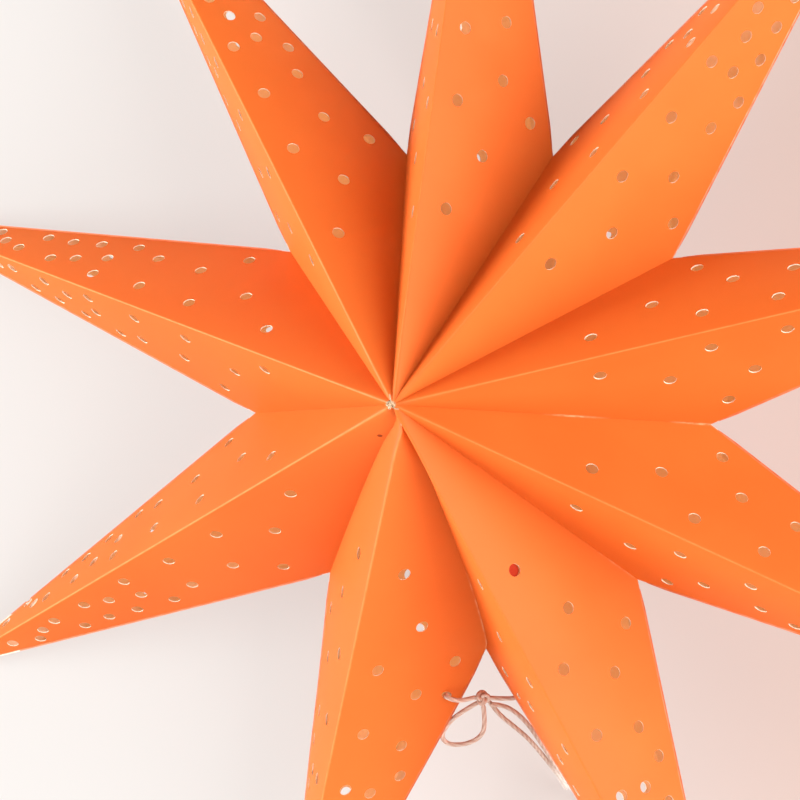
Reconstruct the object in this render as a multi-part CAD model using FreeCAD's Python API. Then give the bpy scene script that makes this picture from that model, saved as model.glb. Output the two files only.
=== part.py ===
"""Nine-pointed folded paper star, punched with light holes and tied shut with cord.

Every arm is a folded front sheet and a folded back sheet, glued along their side edges. The arms are
glued to each other at their valleys, apart from one seam that is tied. The star lies on its back.
"""
import FreeCAD, Part
import math
import os

from FreeCAD import Placement, Rotation, Vector

os.makedirs("parts", exist_ok=True)

# Star, millimetres: from the axis to a tip, to a glued valley corner and to the corner of the tied seam,
# which stands a little open, and from the mid-plane to the centre
TIP_RADIUS = 300.0
VALLEY_RADIUS = 106.0
SEAM_RADIUS = 109.4
HALF_DEPTH = 83.0

# How far the arms have opened: the bearing of the first ridge and the angle from each ridge to the next,
# degrees, counterclockwise from +X. The tied seam takes what is left of the full turn.
FIRST_BEARING = -66.9
RIDGE_GAPS = [41.2, 39.2, 38.0, 36.8, 37.4, 39.6, 41.0, 45.0]

# Sheet: thickness, and the width of the glue flaps folded inward along each cut edge
PAPER = 0.5
FLAP_WIDTH = 8.0
FLAP_START = 14.0
CENTRE_BORE = 3.2

# Light holes of one panel: distance along the ridge from the centre, distance from the ridge
HOLE_DIAMETER = 5.0
LIGHT_HOLES = [
    (83.0, 14.5), (109.0, 28.5), (129.0, 13.0), (129.0, 50.5), (143.0, 34.0),
    (160.0, 12.3), (168.0, 32.0), (183.5, 34.5), (187.5, 9.5), (190.5, 21.5),
    (202.0, 28.5), (204.5, 14.5), (216.0, 23.8), (216.0, 9.5), (230.0, 21.0),
    (237.0, 8.8), (247.5, 10.2), (255.0, 14.3), (268.0, 8.0), (280.0, 5.0),
]

# Thread that gathers the inner corners: its diameter, and its knots outside and inside the sheets
THREAD = 1.3
THREAD_KNOT = 4.2
THREAD_SEAT = 0.05
THREAD_DEPTH = 9.0

# Tie cord of the seam: its hole through the glued edge of each seam arm, its knot, and its routes as the
# star lies, each a list of points from the knot or the hole to the other end
CORD = 2.0
CORD_HOLE = 3.0
CORD_HOLE_ALONG = 25.0
CORD_HOLE_INSET = 4.5
BOW_KNOT = 7.0
BOW_KNOT_PLACE = (-21.4, -133.0, 79.3)
CORD_ROUTES = {
    "seam_cord_left": [
        (-35.8, -131.3, 76.0), (-38.0, -131.6, 83.2), (-35.2, -133.0, 84.6),
        (-30.5, -134.4, 81.0), (-25.4, -133.0, 79.3),
    ],
    "seam_cord_right": [
        (-2.6, -130.1, 84.1), (-0.4, -129.9, 76.9), (-3.4, -131.8, 75.6),
        (-9.1, -133.6, 78.0), (-17.4, -133.0, 79.3),
    ],
    "bow_loop": [
        (-23.6, -135.2, 76.8), (-31.0, -139.6, 75.0), (-37.0, -144.7, 72.2),
        (-41.1, -151.3, 68.5), (-38.3, -155.2, 66.5), (-31.3, -155.2, 67.0),
        (-24.5, -152.2, 69.0), (-20.9, -146.5, 72.5), (-21.6, -136.2, 76.9),
    ],
    "bow_tail_upper": [
        (-18.4, -135.8, 77.6), (-13.3, -136.6, 74.5), (-8.8, -140.1, 68.5),
        (-5.0, -145.7, 59.0), (-1.6, -153.7, 47.0), (1.7, -162.7, 33.0),
        (5.3, -172.6, 19.0), (9.8, -182.1, 8.0), (15.6, -189.2, 2.8),
        (23.2, -193.7, 1.7),
    ],
    "bow_tail_lower": [
        (-19.2, -134.9, 75.6), (-15.8, -140.6, 72.0), (-10.4, -146.7, 63.5),
        (-5.4, -153.7, 50.5), (-1.8, -161.5, 35.5), (1.5, -169.5, 21.0),
        (4.7, -177.1, 9.0), (7.7, -184.0, 2.0),
    ],
}

# Share of the shorter run that each bend of a cord takes up
BEND_SHARE = 0.45

# The arms whose tips touch the ground when the star lies on its back knot
RESTING_ARMS = (6, 7)


def bearings():
    """Bearing of every ridge, degrees."""
    result = [FIRST_BEARING]
    for gap in RIDGE_GAPS:
        result.append(result[-1] + gap)
    return result


def polar(radius, bearing, height=0.0):
    """Point at a radius and a bearing."""
    angle = math.radians(bearing)
    return Vector(radius * math.cos(angle), radius * math.sin(angle), height)


def unit(vector):
    """Vector of length one."""
    return Vector(vector).normalize()


def polygon_face(points):
    """Flat face through the points."""
    return Part.Face(Part.makePolygon(list(points) + [points[0]]))


def corner_after(ridges, arm):
    """Valley corner in the mid-plane that follows an arm: the tied seam follows the last one."""
    if arm + 1 == len(ridges):
        return polar(SEAM_RADIUS, (ridges[arm] + ridges[0] + 360.0) / 2)
    return polar(VALLEY_RADIUS, (ridges[arm] + ridges[arm + 1]) / 2)


class Panel:
    """One flat side of a folded sheet, between its ridge and one valley corner."""

    def __init__(self, centre, tip, valley, partner):
        self.centre = centre
        self.tip = tip
        self.valley = valley
        self.along = unit(tip - centre)
        reach = valley - centre
        self.across = unit(reach - self.along * reach.dot(self.along))
        normal = unit(self.along.cross(self.across))
        self.normal = normal if normal.dot(valley - partner) > 0 else -normal

    def point(self, along, across):
        """Point of the panel from its distances along and from the ridge."""
        return self.centre + self.along * along + self.across * across


def arm_block(centre, tip, right, left):
    """Closed block between the outer faces, the two valley planes and the mid-plane."""
    axis = Vector(0, 0, 0)
    faces = [
        polygon_face([axis, left, tip, right]),
        polygon_face([axis, right, centre]),
        polygon_face([axis, centre, left]),
        polygon_face([centre, right, tip]),
        polygon_face([centre, tip, left]),
    ]
    return Part.makeSolid(Part.makeShell(faces))


def hollow(first, second):
    """Wedge under both panels of a sheet, one sheet thickness inside their faces."""
    both = first.normal + second.normal
    ridge = first.centre - both * (PAPER / (1 + first.normal.dot(second.normal)))
    start = ridge - first.along * TIP_RADIUS
    section = polygon_face([
        start,
        start + first.across * TIP_RADIUS,
        start + second.across * TIP_RADIUS,
    ])
    return section.extrude(first.along * 3 * TIP_RADIUS)


def flap(corner, end, inward, side, start, stop):
    """Glue flap with slanted ends along the edge from corner to end, folded towards inward."""
    along = unit(end - corner)
    length = (end - corner).Length
    outline = [
        corner + along * start,
        corner + along * (length - stop),
        corner + along * (length - stop - FLAP_WIDTH) + inward * FLAP_WIDTH,
        corner + along * (start + FLAP_WIDTH) + inward * FLAP_WIDTH,
    ]
    return polygon_face(outline).extrude(side * PAPER)


def square_to(edge, direction):
    """Part of a direction that is square to an edge, of length one."""
    edge = unit(edge)
    return unit(direction - edge * direction.dot(edge))


def flaps(panel, tip_bearing):
    """The two glue flaps of one panel: at its side edge and at its valley."""
    up = Vector(0, 0, 1)
    middle = polar(1.0, tip_bearing)
    edge = panel.tip - panel.valley
    to_ridge = square_to(edge, Vector(0, 0, 0) - panel.valley)
    narrow = FLAP_WIDTH / math.sin(edge.getAngle(middle))
    side = flap(panel.valley, panel.tip, to_ridge, up, FLAP_WIDTH / 2, narrow)
    fold = panel.valley - panel.centre
    below = square_to(fold, -up)
    into_arm = square_to(Vector(panel.valley), middle)
    valley = flap(panel.centre, panel.valley, below, into_arm, FLAP_START, FLAP_WIDTH / 2)
    return [side, valley]


def light_hole(panel, along, across):
    """Cutter for one light hole, square to its panel."""
    reach = 4 * PAPER
    base = panel.point(along, across) - panel.normal * reach
    return Part.makeCylinder(HOLE_DIAMETER / 2, 2 * reach, base, panel.normal)


def cord_hole_place(valley, tip):
    """Where a cord hole stands in the mid-plane, near the side edge of an arm."""
    edge = tip - valley
    inward = square_to(edge, Vector(0, 0, 0) - valley)
    return valley + unit(edge) * CORD_HOLE_ALONG + inward * CORD_HOLE_INSET


def front_sheet(ridges, arm):
    """Folded front sheet of one arm, before the star is laid down."""
    centre = Vector(0, 0, HALF_DEPTH)
    tip = polar(TIP_RADIUS, ridges[arm])
    left = corner_after(ridges, arm)
    right = corner_after(ridges, arm - 1 if arm else len(ridges) - 1)
    block = arm_block(centre, tip, right, left)
    panels = [Panel(centre, tip, right, left), Panel(centre, tip, left, right)]
    sheet = block.cut(hollow(*panels))
    folded = []
    cutters = [Part.makeCylinder(CENTRE_BORE / 2, 2 * HALF_DEPTH, Vector(0, 0, 0))]
    for panel in panels:
        folded += [piece.common(block) for piece in flaps(panel, ridges[arm])]
        cutters += [light_hole(panel, *place) for place in LIGHT_HOLES]
    if arm == 0:
        cutters.append(cord_cutter(cord_hole_place(right, tip)))
    if arm == len(ridges) - 1:
        cutters.append(cord_cutter(cord_hole_place(left, tip)))
    return sheet.fuse(folded).removeSplitter().cut(cutters)


def cord_cutter(place):
    """Cutter for a cord hole, straight through the glued edge."""
    return Part.makeCylinder(CORD_HOLE / 2, HALF_DEPTH, place)


def thread_tie():
    """Thread through the centre of the front, with a knot outside and one inside."""
    knot = THREAD_KNOT / 2
    bore = CENTRE_BORE / 2
    rim = HALF_DEPTH * (1 - bore / TIP_RADIUS)
    seat = math.sqrt((knot + THREAD_SEAT) ** 2 - bore ** 2)
    outside = Vector(0, 0, rim + seat)
    inside = outside - Vector(0, 0, THREAD_DEPTH)
    strand = Part.makeCylinder(THREAD / 2, THREAD_DEPTH, inside)
    balls = [Part.makeSphere(knot, outside), Part.makeSphere(THREAD, inside)]
    return strand.fuse(balls), outside


def rest_placement(ridges, knot_centre):
    """Placement that lays the star on its back knot and on the tips of the resting arms."""
    first = polar(TIP_RADIUS, ridges[RESTING_ARMS[0]])
    second = polar(TIP_RADIUS, ridges[RESTING_ARMS[1]])
    knot = Vector(knot_centre.x, knot_centre.y, -knot_centre.z)
    hinge = unit(second - first)
    to_knot = square_to(hinge, knot - first)
    distance = (knot - first).dot(to_knot)
    lean = math.degrees(math.asin(THREAD_KNOT / 2 / distance))
    ground = Rotation(hinge, -lean).multVec(to_knot)
    up = unit(hinge.cross(ground))
    if up.z < 0:
        up = -up
        ground = Rotation(hinge, lean).multVec(to_knot)
        up = unit(ground.cross(hinge))
    turn = Rotation(up, Vector(0, 0, 1))
    touch = turn.multVec(knot) - Vector(0, 0, THREAD_KNOT / 2)
    return Placement(-touch, turn)


def bend(before, corner, after):
    """Arc that rounds one corner of a route, tangent to both runs, and its radius."""
    first, second = before - corner, after - corner
    half_turn = (math.pi - first.getAngle(second)) / 2
    reach = BEND_SHARE * min(first.Length, second.Length)
    radius = reach / math.tan(half_turn)
    start = corner + unit(first) * reach
    end = corner + unit(second) * reach
    inward = unit(unit(first) + unit(second))
    middle = corner + inward * (radius / math.cos(half_turn) - radius)
    return start, Part.Arc(start, middle, end).toShape(), end, radius


def cord_tube(name, route):
    """Round cord along a route of straight runs joined by tangent arcs."""
    points = [Vector(*point) for point in route]
    edges, radii, last = [], [], points[0]
    for before, corner, after in zip(points, points[1:], points[2:]):
        start, arc, end, radius = bend(before, corner, after)
        edges += [Part.LineSegment(last, start).toShape(), arc]
        radii.append(round(radius, 1))
        last = end
    edges.append(Part.LineSegment(last, points[-1]).toShape())
    path = Part.Wire(edges)
    section = Part.Wire(Part.makeCircle(CORD / 2, points[0], points[1] - points[0]))
    tube = path.makePipeShell([section], True, False)
    filled = tube.Volume / (math.pi * CORD ** 2 / 4 * path.Length)
    print(name, "length", round(path.Length, 1), "fill", round(filled, 4), "radii", radii)
    return tube


def export(shape, name, placement=Placement()):
    """Lay a shape down with the star and write it to its own file."""
    placed = shape.copy()
    placed.Placement = placement.multiply(placed.Placement)
    placed.exportStep(f"parts/{name}.step")


def build():
    """Build every piece and write it."""
    ridges = bearings()
    tie, knot_centre = thread_tie()
    placement = rest_placement(ridges, knot_centre)
    middle, up = Vector(0, 0, 0), Vector(0, 0, 1)
    for arm in range(len(ridges)):
        sheet = front_sheet(ridges, arm)
        export(sheet, f"arm_{arm + 1}_front", placement)
        export(sheet.mirror(middle, up), f"arm_{arm + 1}_back", placement)
    export(tie, "front_thread", placement)
    export(tie.mirror(middle, up), "back_thread", placement)
    export(Part.makeSphere(BOW_KNOT / 2, Vector(*BOW_KNOT_PLACE)), "bow_knot")
    for name, route in CORD_ROUTES.items():
        export(cord_tube(name, route), name)


build()
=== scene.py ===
"""Folded paper star lantern: nine hollow arms of orange paper, punched with light holes.

Every arm is a folded front sheet and a folded back sheet, glued along their side edges. The arms are
glued to each other at their valleys, apart from one seam that is tied with a bow of thin cord. The star
lies on its back, seen from above. Lengths are in metres and angles in degrees.
"""

import logging
import math
from dataclasses import dataclass, field
from enum import Enum

import bpy
import numpy as np
from mathutils import Matrix, Vector
from mathutils.geometry import delaunay_2d_cdt


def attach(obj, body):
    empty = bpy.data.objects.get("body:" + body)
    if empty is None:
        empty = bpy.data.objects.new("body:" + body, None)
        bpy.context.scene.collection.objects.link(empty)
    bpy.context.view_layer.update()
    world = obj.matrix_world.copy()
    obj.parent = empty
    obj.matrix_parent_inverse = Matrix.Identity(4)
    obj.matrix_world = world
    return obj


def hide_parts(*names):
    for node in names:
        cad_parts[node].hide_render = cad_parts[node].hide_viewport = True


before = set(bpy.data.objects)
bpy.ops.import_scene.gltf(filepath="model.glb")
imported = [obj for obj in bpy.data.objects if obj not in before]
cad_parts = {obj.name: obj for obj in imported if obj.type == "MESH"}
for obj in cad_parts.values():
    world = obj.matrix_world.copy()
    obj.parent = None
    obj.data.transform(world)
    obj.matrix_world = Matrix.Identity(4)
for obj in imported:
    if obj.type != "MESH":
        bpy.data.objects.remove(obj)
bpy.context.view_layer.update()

LOG = logging.getLogger("paper_star")
MM = 0.001
BODY = "root"


class Side(Enum):
    """Which side of the star a sheet closes, with the sign of its height over the mid-plane."""

    FRONT = 1
    BACK = -1


def unit(vector: np.ndarray) -> np.ndarray:
    """Vector of length one."""
    return vector / np.linalg.norm(vector)


def square_to(edge: np.ndarray, direction: np.ndarray) -> np.ndarray:
    """Part of a direction that is square to an edge, of length one."""
    along = unit(edge)
    return unit(direction - along * direction.dot(along))


def polar(radius: float, bearing: float, height: float = 0.0) -> np.ndarray:
    """Point at a radius and a bearing."""
    angle = math.radians(bearing)
    return np.array([radius * math.cos(angle), radius * math.sin(angle), height])


def smooth_step(values: np.ndarray, low: float, high: float) -> np.ndarray:
    """Ramp from 0 at low to 1 at high, level at both ends."""
    share = np.clip((values - low) / (high - low), 0.0, 1.0)
    return share * share * (3.0 - 2.0 * share)


def add_mesh(name: str, points: np.ndarray, faces: np.ndarray) -> bpy.types.Object:
    """Put points and faces into a new object at the origin.

    Args:
        name: name of the piece.
        points: one row of x, y, z for each vertex.
        faces: one row of vertex numbers for each face, all with the same number of corners.

    Returns:
        The new object, linked to the scene.
    """
    mesh = bpy.data.meshes.new(name)
    mesh.from_pydata(points.tolist(), [], faces.tolist())
    mesh.update()
    piece = bpy.data.objects.new(name, mesh)
    bpy.context.scene.collection.objects.link(piece)
    return piece


@dataclass(frozen=True)
class StarLayout:
    """Main sizes of the star, and how it lies on its back knot and the tips of two arms."""

    tip_radius: float = 0.300
    valley_radius: float = 0.106
    seam_radius: float = 0.1094
    half_depth: float = 0.083
    first_bearing: float = -66.9
    ridge_gaps: tuple[float, ...] = (41.2, 39.2, 38.0, 36.8, 37.4, 39.6, 41.0, 45.0)
    centre_bore: float = 0.0032
    knot_radius: float = 0.0021
    knot_seat: float = 0.00005
    resting_arms: tuple[int, int] = (6, 7)

    def bearings(self) -> list[float]:
        """Bearing of every ridge, counterclockwise from the tied seam."""
        return [self.first_bearing + sum(self.ridge_gaps[:arm]) for arm in range(len(self.ridge_gaps) + 1)]

    def corner_after(self, arm: int) -> np.ndarray:
        """Valley corner that follows an arm: the tied seam's stands a little further out."""
        ridges = self.bearings()
        if arm + 1 == len(ridges):
            return polar(self.seam_radius, (ridges[arm] + ridges[0] + 360.0) / 2)
        return polar(self.valley_radius, (ridges[arm] + ridges[arm + 1]) / 2)

    def knot_centre(self, side: Side) -> np.ndarray:
        """Middle of the thread knot that sits in the bore at the centre of one side."""
        bore = self.centre_bore / 2
        rim = self.half_depth * (1 - bore / self.tip_radius)
        seat = math.sqrt((self.knot_radius + self.knot_seat) ** 2 - bore ** 2)
        return np.array([0.0, 0.0, side.value * (rim + seat)])

    def ground_turn(self) -> tuple[np.ndarray, np.ndarray]:
        """Turn and shift that lay the star down.

        The ground plane touches two tips and the sphere of the back knot: it is the plane through both
        tips and the knot's centre, leaned about the line of the tips by the knot's radius over its
        distance from that line.

        Returns:
            The 3 by 3 turning matrix and the shift.
        """
        ridges = self.bearings()
        first, second = (polar(self.tip_radius, ridges[arm]) for arm in self.resting_arms)
        knot = self.knot_centre(Side.BACK)
        hinge = unit(second - first)
        to_knot = square_to(hinge, knot - first)
        lean = math.asin(self.knot_radius / (knot - first).dot(to_knot))
        level = to_knot * math.cos(lean) + np.cross(hinge, to_knot) * -math.sin(lean)
        up = unit(np.cross(hinge, level))
        if up[2] < 0:
            level = to_knot * math.cos(lean) + np.cross(hinge, to_knot) * math.sin(lean)
            up = unit(np.cross(level, hinge))
        turn = np.array(Vector(up).rotation_difference(Vector((0, 0, 1))).to_matrix())
        touch = turn @ knot - np.array([0.0, 0.0, self.knot_radius])
        return turn, -touch

    def lay_down(self, points: np.ndarray) -> np.ndarray:
        """Points of the star's own frame, as it lies on the ground."""
        turn, shift = self.ground_turn()
        return points @ turn.T + shift


@dataclass(frozen=True)
class ClosingPull:
    """How the tied seam draws the last two arms towards the first one, in millimetres.

    Near the centre the first arm's ridge leans the other way, and the last arm slips under it. There
    the seam's pull and the lean are each held to a share of the radius, so that no panel turns over.
    """

    layout: StarLayout
    ridge_pull: float = 5.6
    ridge_reach: float = 178.0
    valley_pull: float = 5.0
    valley_reach: float = 27.0
    pull_start: tuple[float, float] = (1.6, 8.0)
    seam_pull: float = 5.8
    seam_fade: float = 76.0
    seam_share: float = 0.29
    seam_start: tuple[float, float] = (4.0, 11.0)
    lean: float = 3.2
    lean_reach: float = 7.0
    lean_share: float = 0.27
    tuck: float = 3.0
    tuck_reach: tuple[float, float] = (4.0, 22.0)
    tuck_shares: tuple[float, float, float] = (0.0, 0.8, 1.0)

    def moved(self, points: np.ndarray, arm: int, side: Side) -> np.ndarray:
        """Points of one sheet with the pull.

        The pull goes square to the last ridge. It is 0 at the ridge before the last one and at the
        valley after the first one, has its own course with the radius at the valley, the ridge, the seam
        and the ridge between them, and goes in proportion to the bearing from each line to the next.

        Args:
            points: places in the star's own frame.
            arm: number of the arm.
            side: side of the star.

        Returns:
            The moved places.
        """
        ridges = self.layout.bearings()
        radius = np.hypot(points[:, 0], points[:, 1]) / MM
        bearing = np.degrees(np.arctan2(points[:, 1], points[:, 0])) % 360.0
        seam = (ridges[-1] + ridges[0] + 360.0) / 2
        corner = self.layout.seam_radius / MM
        lines = np.array([
            ridges[-2], (ridges[-2] + ridges[-1]) / 2, ridges[-1],
            seam, ridges[0] + 360.0, (ridges[0] + ridges[1]) / 2 + 360.0,
        ])
        near = smooth_step(radius, *self.pull_start)
        courses = np.stack([
            np.zeros(len(points)),
            self.valley_pull * np.exp(-radius / self.valley_reach) * near,
            self.ridge_pull * np.clip(1.0 - radius / self.ridge_reach, 0.0, 1.0) * near,
            np.minimum(self.seam_pull, self.seam_share * radius) * smooth_step(radius, *self.seam_start)
            * np.sqrt(np.clip((corner - radius) / (corner - self.seam_fade), 0.0, 1.0)),
            -np.minimum(self.lean * np.exp(-radius / self.lean_reach), self.lean_share * radius),
            np.zeros(len(points)),
        ])
        share = np.stack([
            np.interp(bearing, lines, weights, 0.0, 0.0) for weights in np.eye(len(lines))
        ])
        pull = (courses * share).sum(axis=0) * MM
        moved = points + np.outer(pull, polar(1.0, ridges[-1] + 90.0))
        if arm >= len(ridges) - 2:
            down = self.tuck * (1.0 - smooth_step(radius, *self.tuck_reach))
            down = down * np.interp(bearing, lines[:3], self.tuck_shares) * MM
            moved[:, 2] -= side.value * down
        return moved


@dataclass(frozen=True)
class Flap:
    """Glue flap along one edge: from its corner, where it starts and stops, and its way in."""

    corner: np.ndarray
    end: np.ndarray
    flat_corner: np.ndarray
    flat_end: np.ndarray
    inward: np.ndarray
    start: float
    stop: float
    width: float

    def along(self) -> np.ndarray:
        """Direction of the edge in the flat net."""
        return unit(self.flat_end - self.flat_corner)

    def outward(self) -> np.ndarray:
        """Direction square to the edge in the flat net, away from the sheet's ridge."""
        way = self.along()
        square = np.array([-way[1], way[0]])
        middle = (self.flat_corner + self.flat_end) / 2
        return square * np.sign(square[1] * middle[1])

    def outline(self) -> np.ndarray:
        """Four corners of the flap in the flat net."""
        way, out = self.along(), self.outward()
        length = np.linalg.norm(self.flat_end - self.flat_corner)
        first = self.flat_corner + way * self.start
        last = self.flat_corner + way * (length - self.stop)
        return np.array([
            first,
            first + (way + out) * self.width,
            last + (out - way) * self.width,
            last,
        ])

    def beyond(self, flat: np.ndarray) -> np.ndarray:
        """How far flat points lie beyond the edge."""
        return (flat - self.flat_corner) @ self.outward()

    def folded(self, flat: np.ndarray) -> np.ndarray:
        """Places of flat points on the flap once it is folded in: the edge stays, the rest turns."""
        along = (flat - self.flat_corner) @ self.along()
        edge = unit(self.end - self.corner)
        return self.corner + np.outer(along, edge) + np.outer(self.beyond(flat), self.inward)


@dataclass(frozen=True)
class Panel:
    """One half of a sheet, between its ridge and one valley corner, with how far it bulges."""

    centre: np.ndarray
    tip: np.ndarray
    valley: np.ndarray
    partner: np.ndarray
    hand: int
    bulge: float
    bulge_to_tip: float

    def along(self) -> np.ndarray:
        """Direction of the ridge."""
        return unit(self.tip - self.centre)

    def across(self) -> np.ndarray:
        """Direction in the panel, square to the ridge."""
        return square_to(self.tip - self.centre, self.valley - self.centre)

    def normal(self) -> np.ndarray:
        """Direction square to the panel, out of the arm."""
        square = np.cross(self.along(), self.across())
        return square * np.sign(square.dot(self.valley - self.partner))

    def ridge_length(self) -> float:
        """Length of the ridge."""
        return float(np.linalg.norm(self.tip - self.centre))

    def flat_valley(self) -> np.ndarray:
        """Valley corner in the flat net: distance along the ridge and signed distance from it."""
        reach = self.valley - self.centre
        return np.array([reach.dot(self.along()), self.hand * reach.dot(self.across())])

    def shares(self, flat: np.ndarray) -> tuple[np.ndarray, np.ndarray, np.ndarray]:
        """Shares of the centre, the tip and the valley corner in flat points of the triangle."""
        corner = self.flat_valley()
        to_valley = flat[:, 1] / corner[1]
        to_tip = (flat[:, 0] - to_valley * corner[0]) / self.ridge_length()
        return 1.0 - to_tip - to_valley, to_tip, to_valley

    def swell(self, flat: np.ndarray) -> np.ndarray:
        """Height of the bulge: 27 times the product of the three shares, which is 1 at the middle and
        0 along every edge, times the bulge, which may grow towards the tip."""
        to_centre, to_tip, to_valley = self.shares(flat)
        dome = 27.0 * np.clip(to_centre, 0, 1) * np.clip(to_tip, 0, 1) * np.clip(to_valley, 0, 1)
        return dome * (self.bulge + self.bulge_to_tip * (to_tip - to_centre))


@dataclass(frozen=True)
class PunchedNet:
    """Flat net of one folded sheet: two panels, four flaps and the punched holes.

    Flat places are the distance along the ridge from the centre and the signed distance from the ridge.
    """

    panels: tuple[Panel, Panel]
    flaps: tuple[Flap, ...]
    bore: float
    hole_radius: float
    holes: np.ndarray
    rings: tuple[np.ndarray, ...] = ()
    hole_sides: int = 28
    grid_step: float = 0.0045
    edge_step: float = 0.006
    ridge_rows: tuple[float, ...] = (0.0, 0.25, 0.5, 0.8, 1.2, 1.8, 2.6)
    clear: float = 0.0012
    least_area: float = 1e-10

    def hole_places(self) -> tuple[np.ndarray, np.ndarray]:
        """Flat centres and radii of every light hole, and of a circle round every other ring."""
        centres = [self.holes]
        radii = [np.full(len(self.holes), self.hole_radius)]
        for ring in self.rings:
            middle = ring[:-1].mean(axis=0)
            centres.append(middle[None])
            radii.append(np.linalg.norm(ring - middle, axis=1).max()[None])
        return np.vstack(centres), np.concatenate(radii)

    def split(self, start: np.ndarray, end: np.ndarray, stops: tuple[float, ...] = ()) -> np.ndarray:
        """Points along a straight edge at about the edge step, with chosen stops among them."""
        length = np.linalg.norm(end - start)
        steps = np.linspace(0.0, 1.0, max(2, int(length / self.edge_step) + 1))
        chosen = np.array(stops) / length
        if len(chosen):
            near = np.abs(steps[:, None] - chosen[None, :]).min(axis=1) < self.clear / length
            steps = np.sort(np.append(steps[~near], chosen))
        return start + np.outer(steps, end - start)

    def chains(self) -> list[np.ndarray]:
        """Every line that the net is cut or folded along, as rows of points."""
        lines = []
        for panel in self.panels:
            corner = panel.flat_valley()
            edge_way = unit(corner)
            tip = np.array([panel.ridge_length(), 0.0])
            angles = np.linspace(0.0, math.atan2(corner[1], corner[0]), 6)
            lines.append(self.bore / 2 * np.column_stack([np.cos(angles), np.sin(angles)]))
            stops: dict[int, list[float]] = {0: [], 1: []}
            for flap in self.flaps:
                if flap.flat_corner[1] * panel.hand < 0 or flap.flat_end[1] * panel.hand < 0:
                    continue
                outline = flap.outline()
                from_centre = np.linalg.norm(flap.flat_corner) < self.clear
                start = edge_way * self.bore / 2 if from_centre else flap.flat_corner
                stops[0 if from_centre else 1] += [
                    float(np.linalg.norm(outline[end] - start)) for end in (0, 3)
                ]
                lines += [self.split(*pair) for pair in zip(outline[:-1], outline[1:])]
            lines.append(self.split(edge_way * self.bore / 2, corner, tuple(stops[0])))
            lines.append(self.split(corner, tip, tuple(stops[1])))
        centres, radii = self.hole_places()
        turns = np.linspace(0.0, 2 * math.pi, self.hole_sides + 1)
        ring = np.column_stack([np.cos(turns), np.sin(turns)])
        light = len(self.holes)
        lines += [centre + radius * ring for centre, radius in zip(centres[:light], radii[:light])]
        return lines + list(self.rings) + self.ridge_lines()

    def ridge_lines(self) -> list[np.ndarray]:
        """Rows of points beside the ridge, which the fold is rounded over."""
        length = self.panels[0].ridge_length()
        steps = np.arange(self.bore / 2, length, self.grid_step)
        steps = np.append(steps, length) if length - steps[-1] > self.clear else np.append(steps[:-1], length)
        lines = []
        for row in self.ridge_rows:
            for hand in {1, -1 if row else 1}:
                line = np.column_stack([steps, np.full(len(steps), hand * row * MM)])
                panel = self.panels[0] if hand == self.panels[0].hand else self.panels[1]
                if row:
                    line = line[self.room(line, panel) > 0.2 * MM]
                lines.append(line)
        return lines

    def room(self, flat: np.ndarray, panel: Panel) -> np.ndarray:
        """Distance of flat points from the nearest cut edge of a panel or from the centre bore, which is
        negative outside."""
        to_centre, to_tip, _ = panel.shares(flat)
        corner = panel.flat_valley()
        length = panel.ridge_length()
        area = length * abs(corner[1])
        from_side = to_centre * area / np.linalg.norm(np.array([length, 0.0]) - corner)
        from_valley = to_tip * area / np.linalg.norm(corner)
        from_bore = np.linalg.norm(flat, axis=1) - self.bore / 2
        return np.minimum(np.minimum(from_side, from_valley), from_bore)

    def grid(self) -> np.ndarray:
        """Points inside both panels on a regular grid, clear of edges, holes and ridge rows."""
        length = self.panels[0].ridge_length()
        centres, radii = self.hole_places()
        found = []
        for panel in self.panels:
            width = abs(panel.flat_valley()[1])
            first = self.ridge_rows[-1] * MM + self.grid_step * 0.6
            along = np.arange(self.bore / 2, length, self.grid_step)
            across = np.arange(first, width, self.grid_step) * panel.hand
            flat = np.stack(np.meshgrid(along, across), axis=-1).reshape(-1, 2)
            apart = np.linalg.norm(flat[:, None] - centres[None], axis=2) - radii[None]
            keep = (self.room(flat, panel) > self.clear) & (apart.min(axis=1) > self.clear)
            found.append(flat[keep])
        return np.vstack(found)

    @staticmethod
    def within(flat: np.ndarray, corners: np.ndarray) -> np.ndarray:
        """Whether flat points lie in a convex outline: all its sides turn the same way round them."""
        sides = np.roll(corners, -1, axis=0) - corners
        reach = flat[:, None] - corners[None]
        turns = sides[None, :, 0] * reach[..., 1] - sides[None, :, 1] * reach[..., 0]
        return (turns > 0).all(axis=1) | (turns < 0).all(axis=1)

    def covers(self, flat: np.ndarray) -> np.ndarray:
        """Whether flat points are paper: in a panel or a flap, and in no hole."""
        inside = np.zeros(len(flat), dtype=bool)
        for panel in self.panels:
            _, _, to_valley = panel.shares(flat)
            inside |= (self.room(flat, panel) > 0) & (to_valley >= 0)
        for flap in self.flaps:
            inside |= self.within(flat, flap.outline())
        for ring in self.rings:
            inside &= ~self.within(flat, ring[:-1])
        apart = np.linalg.norm(flat[:, None] - self.holes[None], axis=2)
        return inside & (apart.min(axis=1) > 0.99 * self.hole_radius)

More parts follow.
